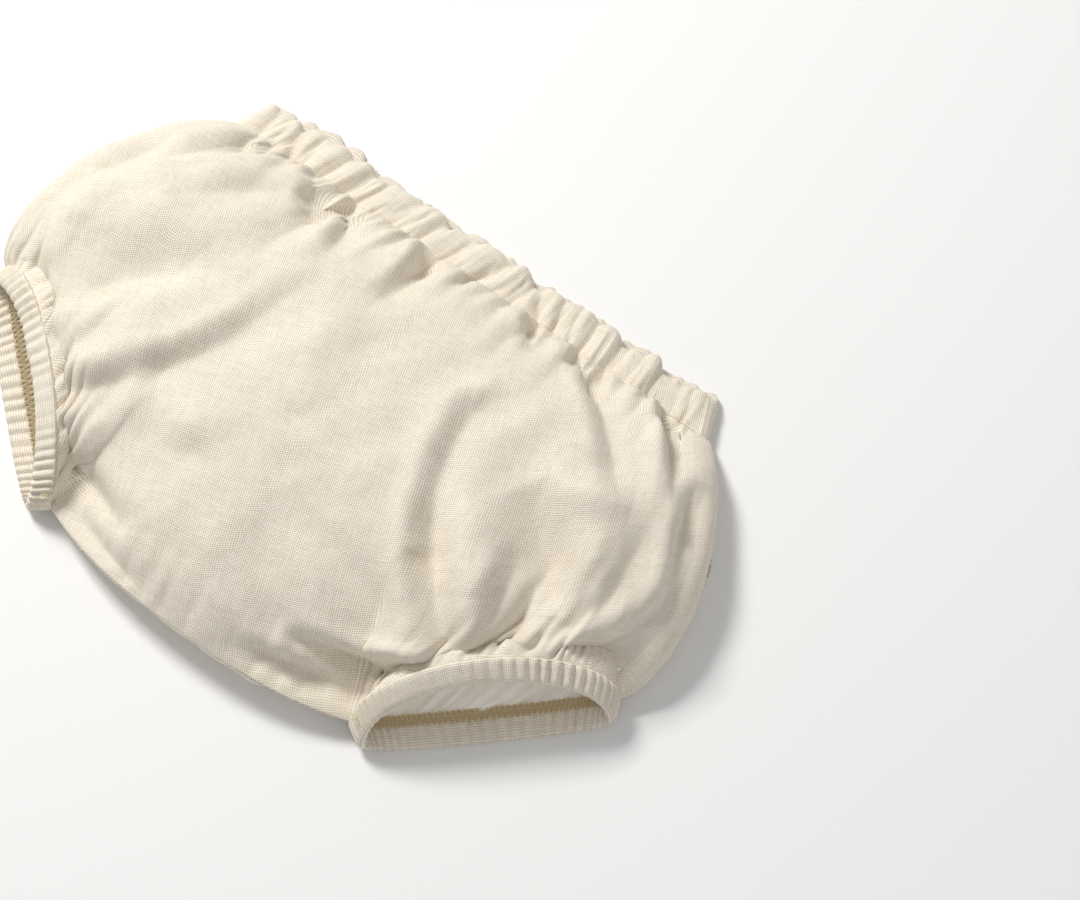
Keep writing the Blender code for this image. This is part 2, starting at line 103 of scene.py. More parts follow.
# Leg band
RING_CENTRE = (108.0, -152.0)
RING_TURN = math.radians(41.9)
RING_HALF = 43.5
RING_SHIFT = 1.8
RING_END_Z = 4.5
RING_TOP_Z = 27.0
RING_LOW_Z = 1.5
RING_SETBACK = 12.5
RING_STEP = 2.5
BAND_DEPTH = 9.3
BAND_WALL = 2.8
BAND_RIBS = 60
BAND_RIB_RISE = 1.7
BAND_RIB_LEVEL = 0.4  # the part of that rise which lies below the wall's own face

# Outline of a leg band when cut across: share of the depth and share of half the wall
BAND_OUTSIDE = (
    (0.0, 0.55),
    (0.05, 0.85),
    (0.15, 1.0),
    (0.35, 1.0),
    (0.55, 1.0),
    (0.75, 1.0),
    (0.9, 0.85),
    (0.97, 0.5),
)
BAND_INSIDE = (
    (1.0, 0.0),
    (0.97, -0.5),
    (0.9, -0.85),
    (0.7, -1.0),
    (0.4, -1.0),
    (0.15, -0.95),
    (0.02, -0.6),
)

# Side seams and crotch
SIDE_BEND_HIGH = (131.0, -32.0)
SIDE_BEND_LOW = (160.0, -88.0)
SIDE_RISE = 8.5
CROTCH_SHARE = 0.30
CROTCH_Y = -187.0
CROTCH_Z = 16.5
CROTCH_ROUND = 16.0
INNER_END_DRAW = 90.0
TURN_FROM = 0.64

# Main folds: start, middle and end (x, y), half width on the lit side and on the other, and the depth at
# the start, middle and end. Negative is a ridge.
LEG_FOLDS = (
    ((41, -66), (48, -95), (59, -115), 4.8, 12.0, (4.0, 6.0, 6.0)),
    ((54, -104), (72, -130), (91, -143), 5.5, 9.0, (0.5, 8.0, 6.5)),
    ((72, -76), (95, -93), (108, -110), 15.0, 8.0, (5.0, 17.0, 11.0)),
    ((84, -92), (92, -120), (97, -138), 4.5, 7.0, (0.0, 7.0, 6.0)),
    ((98, -97), (101, -119), (104, -136), 4.0, 6.0, (0.0, 7.0, 6.0)),
    ((50, -78), (66, -107), (86, -134), 6.0, 6.0, (0.0, -1.8, 0.0)),
    ((114, -54), (121, -86), (122, -122), 6.5, 11.0, (0.0, 5.5, 5.0)),
    ((138, -68), (137, -94), (126, -120), 5.0, 8.0, (1.0, 7.5, 8.0)),
    ((145, -90), (136, -109), (131, -121), 3.2, 5.0, (0.5, 5.0, 5.0)),
    ((56, -17), (80, -36), (104, -64), 4.5, 9.0, (5.5, 5.5, 0.5)),
    ((78, -72), (93, -68), (108, -63), 8.0, 7.0, (0.0, -4.0, 0.0)),
    ((94, -16), (107, -32), (120, -54), 4.0, 7.0, (6.0, 6.5, 0.5)),
    ((82, -18), (101, -34), (123, -60), 5.0, 4.0, (-1.0, -2.6, 0.0)),
    ((119, -33), (127, -51), (137, -76), 4.0, 6.0, (1.0, 6.0, 2.0)),
    ((34, -169), (58, -163), (80, -155), 3.4, 5.5, (0.0, 11.0, 11.0)),
    ((18, -182), (50, -175), (76, -165), 3.2, 5.0, (0.0, 8.5, 9.5)),
    ((8, -122), (36, -137), (62, -141), 7.0, 11.0, (0.0, 4.0, 1.5)),
)
FRONT_FOLDS = (
    ((-48, -18), (-43, -30), (-40, -46), 3.8, 7.0, (6.0, 6.0, 0.5)),
    ((-15, -18), (-12, -30), (-14, -52), 3.6, 7.0, (6.0, 6.0, 0.5)),
    ((-66, -18), (-60, -28), (-53, -40), 4.0, 6.0, (4.0, 3.5, 0.3)),
    ((32, -17), (36, -22), (39, -32), 2.8, 5.0, (4.6, 4.2, 0.5)),
    ((-36, -46), (-21, -76), (-8, -106), 8.0, 10.0, (0.0, -2.8, 0.0)),
    ((-2, -112), (8, -142), (26, -166), 8.0, 11.0, (0.0, 3.0, 2.5)),
)
LEFT_LEG_SQUEEZE = 0.97
LEFT_LEG_DROP = 3.0
LEFT_LEG_DEPTH = 0.6
DEEPEST_FOLD = 18.0

# Gathers that fan out from a leg band: ribs to a gather, how far it reaches, strength
LEG_GATHERS = (
    (1.0, 4.0, 0.5),
    (2.3, 9.0, 0.55),
    (4.7, 18.0, 0.35),
)
GATHER_LIMIT = 0.85  # the most that a gather takes from the panel's rise
LIGHT_WAY = (-0.98, 0.20)  # plan direction of the light

# How finely each piece is cut
FRONT_COLUMNS, FRONT_ROWS = (40, 140), 136
BACK_COLUMNS, BACK_ROWS, TURN_ROWS = (40, 80), 40, 40
RIB_COLUMNS = 12
CASING_FRONT_COLUMNS, CASING_BACK_COLUMNS, CASING_END_COLUMNS = 620, 300, 10
LINING_COLUMNS, LINING_ROWS = (24, 110), 70
PLEAT_RISE = 4.0
LINING_REACH = 0.965
LINING_CROWN = 0.45  # share of the panel's rise that its lining follows
FRONT_LINING_DEPTHS = (5.5, 5.0)  # under the panel, at the leg and inside
BACK_LINING_DEPTHS = (0.9, 2.2)

# Stitches: numbers of them, thread radii, and the casing's stitch length and place down the casing
OVERLOCK_LOOPS = 66
OVERLOCK_LOOP_RADIUS, OVERLOCK_CHAIN_RADIUS = 0.3, 0.36
OVERLOCK_CHAINS = ((-0.09, 1.4), (-0.02, 1.2), (0.06, 1.0), (0.14, 0.8), (0.22, 0.6))  # depth, rise
SEAM_STITCHES, SEAM_STITCH_RADIUS = 44, 0.1
CASING_STITCH, CASING_STITCH_DEPTH, CASING_STITCH_RADIUS = 2.0, 0.9, 0.12
CASING_STITCH_PITCH = 1.45  # stitch lengths from one stitch to the next
THREAD_TAIL_RADIUS = 0.2

# Camera and light, from the photograph
CAMERA_TARGET = (0.065, 0.033, 0.020)
CAMERA_TURN = math.radians(36)
CAMERA_HEIGHT = math.radians(70)
CAMERA_DISTANCE = 1.08
CAMERA_LENS = 100
LIGHT_TARGET = (0.05, 0.0, 0.02)
KEY_PLACE, KEY_SIZE, KEY_POWER = (-0.96, 0.32, 1.15), 0.42, 19.6
KEY_COLOUR = (1.0, 0.985, 0.955)
FILL_PLACE, FILL_SIZE, FILL_POWER = (1.0, -0.2, 0.9), 1.2, 1.6
SKY_STRENGTH = 0.37
FLOOR_HALF = 6.0
FLOOR_COLOUR = (0.93, 0.93, 0.93)

# Colours
LINEN_COLOUR = (0.93, 0.872, 0.775)
VOILE_COLOUR = (0.95, 0.92, 0.86)
GOLDEN_COLOUR = (0.88, 0.74, 0.47)
# Painted shade: a darker copy of the golden thread, for the overlock's chain that lies under its loops.
SHADED_COLOUR = (0.60, 0.47, 0.27)
CREAM_COLOUR = (0.84, 0.77, 0.65)
GAP_TINT = (0.62, 0.54, 0.42)  # what is left of the colour between threads


def mix(a, b, share):
    return a + (b - a) * share


def bezier(a, b, c, d, t):
    u = 1 - t
    return u**3 * a + 3 * u * u * t * b + 3 * u * t * t * c + t**3 * d


def unit(vectors):
    return vectors / np.maximum(np.linalg.norm(vectors, axis=-1, keepdims=True), 1e-9)


def points(x, y, z):
    return np.stack(np.broadcast_arrays(x, y, z), axis=-1).astype(float)


def uneven(number, trait):
    """A fixed value from -1 to 1 that differs for each number and trait."""
    wave = math.sin(number * 12.9898 + trait * 78.233) * 43758.5453
    return 2 * (wave - math.floor(wave)) - 1


def ripples(x, y, seed, count, shortest, longest):
    """Uneven soft waves, about -1 to 1, with wavelengths between two sizes."""
    chance = np.random.default_rng(seed)
    total = 0
    for _ in range(count):
        turn = chance.uniform(0, math.pi)
        length = math.exp(chance.uniform(math.log(shortest), math.log(longest)))
        across = x * math.cos(turn) + y * math.sin(turn)
        total = total + np.sin(2 * math.pi * across / length + chance.uniform(0, 6.3))
    return total / math.sqrt(count)


# Leg bands


def ring_place(along, out, up, side):
    cos_turn, sin_turn = math.cos(RING_TURN), math.sin(RING_TURN)
    x = RING_CENTRE[0] + along * cos_turn + out * sin_turn
    y = RING_CENTRE[1] + along * sin_turn - out * cos_turn
    return points(side * x, y, up)


def ring_surface(angle, depth, side):
    """Middle of the leg band: angle 0 is the side seam and pi the crotch, depth 0 the sewn edge."""
    high = np.maximum(np.sin(angle), 0)
    low = np.maximum(-np.sin(angle), 0)
    along = RING_SHIFT + RING_HALF * np.cos(angle)
    out = RING_STEP * low**0.8 - RING_SETBACK * high**1.2
    up = RING_END_Z + (RING_TOP_Z - RING_END_Z) * high**0.85
    up = up - (RING_END_Z - RING_LOW_Z) * low**0.5
    back = 1 - depth
    along = along + 3.0 * np.cos(angle) * back
    out = out - (BAND_DEPTH - 1.6 * np.sin(angle)) * back
    up = up + (2.8 + 2.2 * np.sin(angle)) * back
    return ring_place(along, out, up, side)


def ring_normal(angle, depth, side):
    step = 0.02
    round_it = ring_surface(angle + step, depth, side) - ring_surface(angle - step, depth, side)
    across = ring_surface(angle, depth + step, side) - ring_surface(angle, depth - step, side)
    return unit(np.cross(round_it, across)) * side


def ring_seam(angle, side):
    return ring_surface(angle, SEAM_TUCK / BAND_DEPTH, side)


def rib_wave(angle):
    """Height of the band's small pleats round the leg, 0 in a crease to 1 on a ridge."""
    unevenly = 0.9 * np.sin(angle * 5) + 0.5 * np.sin(angle * 11) + 0.3 * np.sin(angle * 23)
    wave = 0.5 + 0.5 * np.cos(angle * BAND_RIBS + unevenly)
    smooth = np.exp(-(((np.mod(angle, 2 * math.pi) - 0.62 * math.pi) / 0.36) ** 4))
    strength = (0.75 + 0.25 * np.sin(angle * 7 + 1)) * (1 - 0.85 * smooth)
    return 1 - strength * (1 - wave**0.6)


# Waist


def casing_wave(x, depth):
    """Height of the casing's gathers, 0 in a deep crease to about 1; depth 0 at the top edge."""
    x, depth = np.broadcast_arrays(np.asarray(x, float), np.asarray(depth, float))
    slant = 7.0 * np.clip((40 - x) / 40, 0, 1) * (depth - 0.5)
    swell = ripples(x + slant, 3 * depth, 11, 16, 9, 26)
    small = np.clip(ripples(x + slant, 2 * depth, 12, 22, 3.0, 7.0), 0, 1.2)
    wave = 0.84 + 0.16 * swell - 0.2 * small**1.3 * np.clip(3 * depth, 0, 1)
    for number, (place, shift, strength, _, _) in enumerate(CREASES):
        off = x - place - shift * (depth - 0.5) - 0.5 * np.sin(5 * depth + number)
        middle = 0.6 + 0.3 * uneven(number, 3)
        length = mix(0.35, 1.2, strength**2)
        along = np.exp(-(((depth - middle) / length) ** 2))
        slit = 0.55 * np.exp(-((np.abs(off) / 1.3) ** 1.3)) + 0.55 * np.exp(-((off / 3.4) ** 2))
        wave = wave - strength * along * slit
    return np.clip(wave, 0, 1.25)


def waist_fade(x):
    return 1 - np.clip(np.abs(x) / WAIST_SEAM_HALF, 0, 1) ** 10


def waist_seam(s, face):
    x = WAIST_SEAM_HALF * s
    z = CASING_BACK_Z
    if face > 0:
        z = CASING_FRONT_Z - 0.6 + CASING_RISE * casing_wave(x, 1.0)
    turned_z = (CASING_FRONT_Z + CASING_BACK_Z) / 2 + 0.3 * face
    return points(x, -CASING_DEPTH + SEAM_TUCK, mix(z, turned_z, np.abs(s) ** 10))


# Panels


def side_seam(t, side):
    low = ring_seam(0.0, 1)
    x = bezier(WAIST_SEAM_HALF, SIDE_BEND_HIGH[0], SIDE_BEND_LOW[0], low[0], t)
    y = bezier(-CASING_DEPTH + SEAM_TUCK, SIDE_BEND_HIGH[1], SIDE_BEND_LOW[1], low[1], t)
    z = mix((CASING_FRONT_Z + CASING_BACK_Z) / 2, low[2], t) + SIDE_RISE * np.sin(math.pi * t) ** 0.8
    return points(side * x, y, z)


def crotch_seam(s):
    end = ring_seam(math.pi, 1)
    share = s / CROTCH_SHARE
    y = mix(CROTCH_Y, end[1], np.abs(share) ** 2.6)
    z = mix(CROTCH_Z, end[2], share**2)
    return points(end[0] * share, y, z)


def leg_angle(s, face):
    return face * math.pi * (1 - np.abs(s)) / (1 - CROTCH_SHARE)


def bottom_edge(s, face):
    """The panel's lower edge: the crotch seam in the middle, half of a leg opening on each side."""
    angle = leg_angle(s, face)
    leg = np.where((s < 0)[..., None], ring_seam(angle, -1), ring_seam(angle, 1))
    middle = crotch_seam(np.clip(s, -CROTCH_SHARE, CROTCH_SHARE))
    return np.where((np.abs(s) < CROTCH_SHARE)[..., None], middle, leg)


def with_sides(plain, s, t, face):
    """A plain surface with its ends moved out to the side seams, and the rest in step."""
    grid = plain(s, t)
    right = side_seam(t, 1) - plain(np.ones_like(s), t)
    left = side_seam(t, -1) - plain(-np.ones_like(s), t)
    share = (1 + s[..., None]) / 2
    grid[..., :2] += share * right[..., :2] + (1 - share) * left[..., :2]
    if face > 0:
        turn = np.abs(s) ** 4
    else:
        flat = np.clip((np.abs(s) - 0.86) / 0.14, 0, 1)
        turn = 1 - np.sqrt(1 - flat**2)
    grid[..., 2] += turn * np.where(s > 0, right[..., 2], left[..., 2])
    return grid


def plain_front(s, t):
    """Smooth from waist to hem, with each edge's own ups and downs kept close to that edge."""
    out, size = np.sign(s), np.abs(s)
    end = ring_seam(0.0, 1)
    hem_x = end[0] * (1.25 * size - 0.25 * size**2)
    hem_y = mix(CROTCH_Y, end[1], size**1.6)
    hem = points(out * hem_x, hem_y, mix(CROTCH_Z, end[2], size**4))
    level_z = (CASING_FRONT_Z + CASING_BACK_Z) / 2
    level = points(WAIST_SEAM_HALF * s, -CASING_DEPTH + SEAM_TUCK, level_z)
    grid = mix(level, hem, t[..., None])
    grid += (waist_seam(s, 1) - level) * ((1 - t) ** 12)[..., None]
    bottom = bottom_edge(s, 1) - hem
    grid[..., :2] += bottom[..., :2] * (t**3.5)[..., None]
    grid[..., 2] += bottom[..., 2] * t**6
    near = np.exp(-(((size - CROTCH_SHARE) / 0.13) ** 2)) * (1 - t) * t**7
    grid[..., 0] -= out * INNER_END_DRAW * math.sin(RING_TURN) * near
    grid[..., 1] += INNER_END_DRAW * math.cos(RING_TURN) * near
    return grid


def crown(s, t):
    """How far the cloth springs up between its edges."""
    across = np.sqrt(np.clip(1 - np.abs(s) ** CROWN_BREADTH, 0, 1))
    along = np.clip(4 * t * (1 - t), 0, 1) ** mix(CROWN_RISE_WAIST, CROWN_RISE_LEG, t**3)
    dip = 1 - 0.45 * np.exp(-(((np.abs(s) - CROTCH_SHARE) / 0.1) ** 2) - ((1 - t) / 0.12) ** 2)
    return CROWN_HEIGHT * across * along * dip


def front_surface(s, t):
    grid = with_sides(plain_front, s, t, 1)
    grid[..., 2] += crown(s, t)
    return grid


def plain_back(s, t):
    """Flat on the surface as far as the turn, then up to the bottom edge."""
    edge = bottom_edge(s, -1)
    middle = np.clip(1 - (np.abs(s) / CROTCH_SHARE) ** 4, 0, 1)
    outward = unit(points(np.sin(RING_TURN) * (1 - middle) * np.sign(s), -1.0, 0.0 * s))
    floor = edge - outward * 5.0
    floor[..., 2] = PANEL_REST_Z
    bend_low = floor + outward * mix(2.0, CROTCH_ROUND, middle)[..., None]
    bend_high = edge + outward * mix(-2.0, 9.0, middle)[..., None]
    bend_high[..., 2] = edge[..., 2] - mix(0.5, 7.0, middle)
    main = np.clip(t / TURN_FROM, 0, 1)[..., None]
    grid = mix(waist_seam(s, -1), floor, main)
    grid[..., 2] = mix(PANEL_REST_Z, grid[..., 2], (1 - main[..., 0]) ** 8)
    turn = np.clip((t - TURN_FROM) / (1 - TURN_FROM), 0, 1)[..., None]
    return np.where(turn > 0, bezier(floor, bend_low, bend_high, edge, turn), grid)


def back_surface(s, t):
    return with_sides(plain_back, s, t, -1)


def grid_normals(grid, face):
    """Outward directions of a grid of points, rows down and columns to the right."""
    across = np.gradient(grid, axis=1)
    down = np.gradient(grid, axis=0)
    return unit(np.cross(down, across)) * face


# Folds of the front panel


def fold_depth(x, y, fold, steps=20):
    """Depth of one fold at each point. A trough is steep on its lit side, with a low lip beyond it."""
    start, middle, end, lit, far, (first, half_way, last) = fold
    start, middle, end = np.array(start, float), np.array(middle, float), np.array(end, float)
    bend = 2 * middle - (start + end) / 2
    bend_depth = 2 * half_way - (first + last) / 2
    shares = np.linspace(0, 1, steps + 1)
    curve = [mix(mix(start, bend, share), mix(bend, end, share), share) for share in shares]
    nearest = np.full(x.shape, 1e9)
    place = np.zeros(x.shape)
    toward = np.zeros(x.shape)
    for number in range(steps):
        here, step = curve[number], curve[number + 1] - curve[number]
        along = np.clip(((x - here[0]) * step[0] + (y - here[1]) * step[1]) / (step @ step), 0, 1)
        off_x, off_y = x - here[0] - along * step[0], y - here[1] - along * step[1]
        distance = np.hypot(off_x, off_y)
        closer = distance < nearest
        nearest = np.where(closer, distance, nearest)
        place = np.where(closer, (number + along) / steps, place)
        way = (off_x * LIGHT_WAY[0] + off_y * LIGHT_WAY[1]) / (distance + 0.5)
        toward = np.where(closer, way, toward)
    depth = mix(mix(first, bend_depth, place), mix(bend_depth, last, place), place)
    lit_share = np.clip(0.5 + toward, 0, 1)
    nearest = nearest / mix(far, lit, lit_share)
    lip = 0.2 * np.exp(-(((nearest - 2.0) / 0.8) ** 2)) * lit_share * (depth > 0)
    return depth * (np.exp(-(nearest**1.7)) - lip)


def waist_hold(x, down):
    """How far the casing's creases hold the panel down, 0 to 1, at a distance below the seam."""
    hold = np.zeros(x.shape)
    for number, (place, shift, strength, reach, drift) in enumerate(CREASES):
        length = 5 + 1.5 * reach
        here = place + shift / 2 + drift * down / length + 0.4 * np.sin(down / 3 + number)
        half = 1.2 + 0.11 * down
        across = np.exp(-((np.abs(x - here) / half) ** 1.5))
        hold += strength * across * np.exp(-((down / length) ** 1.5))
    small = np.clip(ripples(x + 0.15 * down, 0 * x, 14, 20, 2.5, 7.0), 0, 1) ** 1.5
    hold += 0.45 * small * np.exp(-down / 4.5)
    return GATHER_LIMIT * np.tanh(hold)


def leg_hold(angle, up, side):
    """How far the gathers of a leg band hold the panel down, at a distance from the band."""
    number = angle * BAND_RIBS / (2 * math.pi)
    hold = np.zeros(angle.shape)
    for level, (period, reach, strength) in enumerate(LEG_GATHERS):
        turn = number / period + 0.35 * np.sin(number * 0.61 / period + level + side)
        turn = turn + 0.06 * np.sin(up / 4 + level)
        valley = (0.5 + 0.5 * np.cos(2 * math.pi * turn)) ** (2.0 + 0.6 * level)
        vary = 0.62 + 0.38 * np.sin(number * 0.83 / period + 2 * level + 1.7 * side)
        length = reach * (0.55 + 0.9 * vary)
        hold += strength * vary * valley * np.exp(-((up / length) ** 1.6))
    return GATHER_LIMIT * np.tanh(1.2 * hold)


def on_left(fold):
    moved = [(-LEFT_LEG_SQUEEZE * x, y - LEFT_LEG_DROP) for x, y in fold[:3]]
    return *moved, *fold[3:5], tuple(LEFT_LEG_DEPTH * depth for depth in fold[5])


def front_folds():
    yield from LEG_FOLDS
    yield from map(on_left, LEG_FOLDS)
    yield from FRONT_FOLDS


def folded_front(s, t):
    """The front panel with its gathers and folds, all held down beside the seams."""
    grid = front_surface(s, t)
    normal = grid_normals(grid, 1)
    down = lengths(np.linalg.norm(np.diff(grid, axis=0), axis=-1), 0)
    up = down[-1:] - down
    x, y = grid[..., 0], grid[..., 1]
    on_leg = np.clip((np.abs(s) - CROTCH_SHARE) / 0.02, 0, 1)
    angle = leg_angle(s, 1)
    hold = np.where(s > 0, leg_hold(angle, up, 1), leg_hold(angle, up, -1)) * on_leg
    crotch = 0.5 * np.clip(ripples(x, 0 * x, 15, 20, 5, 14), 0, 1) * np.exp(-up / 7) * (1 - on_leg)
    kept = (1 - waist_hold(x, down)) * (1 - hold) * (1 - crotch)
    depth = sum(fold_depth(x, y, fold) for fold in front_folds())
    depth = DEEPEST_FOLD * np.tanh(depth / DEEPEST_FOLD)
    ease = np.clip(down / 5, 0, 1) * np.clip(up / 5, 0, 1) * np.clip((1 - np.abs(s)) / 0.03, 0, 1)
    corner = np.exp(-(((np.abs(s) - CROTCH_SHARE) / 0.07) ** 2) - ((1 - t) / 0.04) ** 2)
    ribs = rib_wave(angle) * on_leg * np.exp(-up / 2.5)
    rumple = 0.45 * ripples(x, y, 4, 26, 14, 45) + 0.05 * ripples(x, y, 9, 30, 6, 12)
    relief = ribs + ease**0.7 * (rumple - depth * (1 - corner))
    grid[..., 2] -= crown(s, t) * (1 - kept)
    return grid + normal * relief[..., None]


# Meshes


def columns(crotch_count, leg_count):
    even = np.linspace(0, 1, leg_count + 1)[1:]
    leg = mix(CROTCH_SHARE, 1, mix(even, np.sin(even * math.pi / 2), 0.4))
    half = np.concatenate([np.linspace(0, CROTCH_SHARE, crotch_count + 1), leg])
    return np.concatenate([-half[:0:-1], half])


def rows(count):
    even = np.linspace(0, 1, count + 1)
    return mix(even, (1 - np.cos(math.pi * even)) / 2, 0.75)


def finish_piece(name, vertices, faces, weave, material, node):
    """Makes the piece, with its weave in millimetres of flat cloth as its UV map."""
    mesh = bpy.data.meshes.new(name)
    mesh.from_pydata(((vertices - (0, MIDDLE_Y, 0)) * MM).tolist(), [], faces)
    corners = np.empty(len(mesh.loops), np.int64)
    mesh.loops.foreach_get("vertex_index", corners)
    layer = mesh.uv_layers.new(name="weave")
    layer.data.foreach_set("uv", weave[corners].astype(np.float32).reshape(-1))
    body = bmesh.new()
    body.from_mesh(mesh)
    bmesh.ops.recalc_face_normals(body, faces=body.faces)
    body.to_mesh(mesh)
    body.free()
    mesh.shade_smooth()
    mesh.materials.append(material)
    piece = bpy.data.objects.new(name, mesh)
    bpy.context.scene.collection.objects.link(piece)
    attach(piece, "root")
    if node:
        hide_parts(node)
    return piece


def shell_faces(row_count, column_count):
    size = row_count * column_count
    index = np.arange(size).reshape(row_count, column_count)
    outer = np.stack([index[:-1, :-1], index[:-1, 1:], index[1:, 1:], index[1:, :-1]], axis=-1)
    inner = outer[..., ::-1] + size
    rim = np.concatenate([index[0], index[1:, -1], index[-1, -2::-1], index[-2:0:-1, 0]])
    following = np.roll(rim, -1)
    sides = np.stack([following, rim, rim + size, following + size], axis=-1)
    return np.concatenate([outer.reshape(-1, 4), inner.reshape(-1, 4), sides]).tolist()


def cloth_shell(name, middle, face, wall, weave, material, node):
    """A thin closed wall about a grid of points."""
    normal = grid_normals(middle, face) * wall / 2
    vertices = np.concatenate([(middle + normal).reshape(-1, 3), (middle - normal).reshape(-1, 3)])
    vertices[:, 2] = np.maximum(vertices[:, 2], LOWEST_Z)
    weave = np.concatenate([weave.reshape(-1, 2)] * 2)
    return finish_piece(name, vertices, shell_faces(*middle.shape[:2]), weave, material, node)


def hoop(name, sections, weave, material, node):
    """A closed band through sections of equal count, joined end to end."""
    stations, count = sections.shape[:2]
    index = np.arange(stations * count).reshape(stations, count)
    beside = np.roll(index, -1, axis=1)
    following = np.roll(index, -1, axis=0)
    corner = np.roll(beside, -1, axis=0)
    faces = np.stack([index, beside, corner, following], axis=-1).reshape(-1, 4).tolist()
    vertices = sections.reshape(-1, 3).copy()
    vertices[:, 2] = np.maximum(vertices[:, 2], LOWEST_Z)
    return finish_piece(name, vertices, faces, weave.reshape(-1, 2), material, node)


def lengths(steps, axis):
    start = np.zeros_like(np.take(steps, [0], axis=axis))
    return np.cumsum(np.concatenate([start, steps], axis=axis), axis=axis)


def flat_cloth(grid):
    """Each point's place in the flat cloth: plan distances, made longer where the cloth is steep."""
    across = np.diff(grid, axis=1)
    down = np.diff(grid, axis=0)
    x = lengths(np.hypot(across[..., 0], across[..., 2]), 1)
    x = x - x[:, x.shape[1] // 2][:, None]
    y = -lengths(np.hypot(down[..., 1], down[..., 2]), 0)
    return x, y + grid[:1, :, 1]


# Materials


def add(tree, kind, inputs=(), **settings):
    node = tree.nodes.new(kind)
    for key, value in settings.items():
        setattr(node, key, value)
    for key, value in dict(inputs).items():
        if isinstance(value, bpy.types.NodeSocket):
            tree.links.new(value, node.inputs[key])
        else:
            node.inputs[key].default_value = value
    return node


def calc(tree, operation, a, b=0.5, c=0.5):
    node = add(tree, "ShaderNodeMath", {0: a, 1: b, 2: c}, operation=operation)
    return node.outputs[0]


def woven(name, colour, pitch, gap, streaks, bump, painted_glow):
    """Plain-weave cloth: threads both ways, uneven in thickness, worked out in flat-cloth millimetres, with
    a faint painted glow.
    """
    material = bpy.data.materials.new(name)
    material.use_nodes = True
    tree = material.node_tree
    shader = tree.nodes["Principled BSDF"]
    place = add(tree, "ShaderNodeUVMap", uv_map="weave").outputs[0]
    wander = add(tree, "ShaderNodeTexNoise", {"Vector": place, "Scale": 0.12, "Detail": 2.0})
    half = (0.5, 0.5, 0.5)
    shift = add(tree, "ShaderNodeVectorMath", {0: wander.outputs["Color"], 1: half}, operation="SUBTRACT")
    shift = add(tree, "ShaderNodeVectorMath", {0: shift.outputs[0], "Scale": 0.7}, operation="SCALE")
    moved = add(tree, "ShaderNodeVectorMath", {0: place, 1: shift.outputs[0]}, operation="ADD")
    parts = add(tree, "ShaderNodeSeparateXYZ", {0: moved.outputs[0]})
    u, v = parts.outputs[0], parts.outputs[1]

    def thread_tone(along, across, seed):
        """A value that stays nearly the same along a thread and jumps from one thread to the next."""
        number = calc(tree, "FLOOR", calc(tree, "DIVIDE", across, pitch))
        slow = calc(tree, "MULTIPLY", along, 0.09)
        where = add(tree, "ShaderNodeCombineXYZ", {0: number, 1: slow, 2: seed})
        inputs = {"Vector": where.outputs[0], "Scale": 1.37, "Detail": 1.5}
        return add(tree, "ShaderNodeTexNoise", inputs).outputs["Fac"]

    def thread_form(across):
        turn = calc(tree, "MULTIPLY", across, math.pi / pitch)
        return calc(tree, "ABSOLUTE", calc(tree, "SINE", turn))

    over_u = calc(tree, "SINE", calc(tree, "MULTIPLY", u, math.pi / pitch))
    over_v = calc(tree, "SINE", calc(tree, "MULTIPLY", v, math.pi / pitch))
    crossing = calc(tree, "MULTIPLY", over_u, over_v)
    form_u, form_v = thread_form(u), thread_form(v)
    beside_u, beside_v = calc(tree, "SUBTRACT", 1.0, form_u), calc(tree, "SUBTRACT", 1.0, form_v)
    hole = calc(tree, "MULTIPLY", beside_u, beside_v)
    both = calc(tree, "MULTIPLY", form_u, form_v)
    form = calc(tree, "MULTIPLY_ADD", both, 0.3, 0.7)
    form = calc(tree, "MULTIPLY_ADD", hole, -1.15, form)
    slub = calc(tree, "ADD", thread_tone(v, u, 3.0), thread_tone(u, v, 17.0))
    slub = calc(tree, "SUBTRACT", slub, 1.0)
    height = calc(tree, "MULTIPLY_ADD", crossing, 0.2, form)
    height = calc(tree, "MULTIPLY_ADD", slub, 0.7, height)
    broad = add(tree, "ShaderNodeTexNoise", {"Vector": place, "Scale": 0.035, "Detail": 3.0})
    patch = calc(tree, "MULTIPLY_ADD", broad.outputs["Fac"], 0.08, -0.04)
    shade = calc(tree, "MULTIPLY_ADD", form, gap, 1.0 - gap)
    shade = calc(tree, "MULTIPLY_ADD", slub, streaks, shade)
    shade = calc(tree, "ADD", shade, patch)
    deep = tuple(channel * tint for channel, tint in zip(colour, GAP_TINT))
    tone = add(tree, "ShaderNodeMix", {0: shade, 6: (*deep, 1), 7: (*colour, 1)}, data_type="RGBA")
    tree.links.new(tone.outputs[2], shader.inputs["Base Color"])
    bumped = add(tree, "ShaderNodeBump", {"Height": height, "Strength": bump, "Distance": 0.00025})
    tree.links.new(bumped.outputs[0], shader.inputs["Normal"])
    # Painted light: the cloth glows faintly in its own colour, which lifts its shade; on the voile it stands
    # in for light shining through the thin cloth.
    tree.links.new(tone.outputs[2], shader.inputs["Emission Color"])
    shader.inputs["Emission Strength"].default_value = painted_glow
    shader.inputs["Roughness"].default_value = 0.85
    shader.inputs["Sheen Weight"].default_value = 0.1
    shader.inputs["Sheen Roughness"].default_value = 0.5
    shader.inputs["Specular IOR Level"].default_value = 0.25
    return material


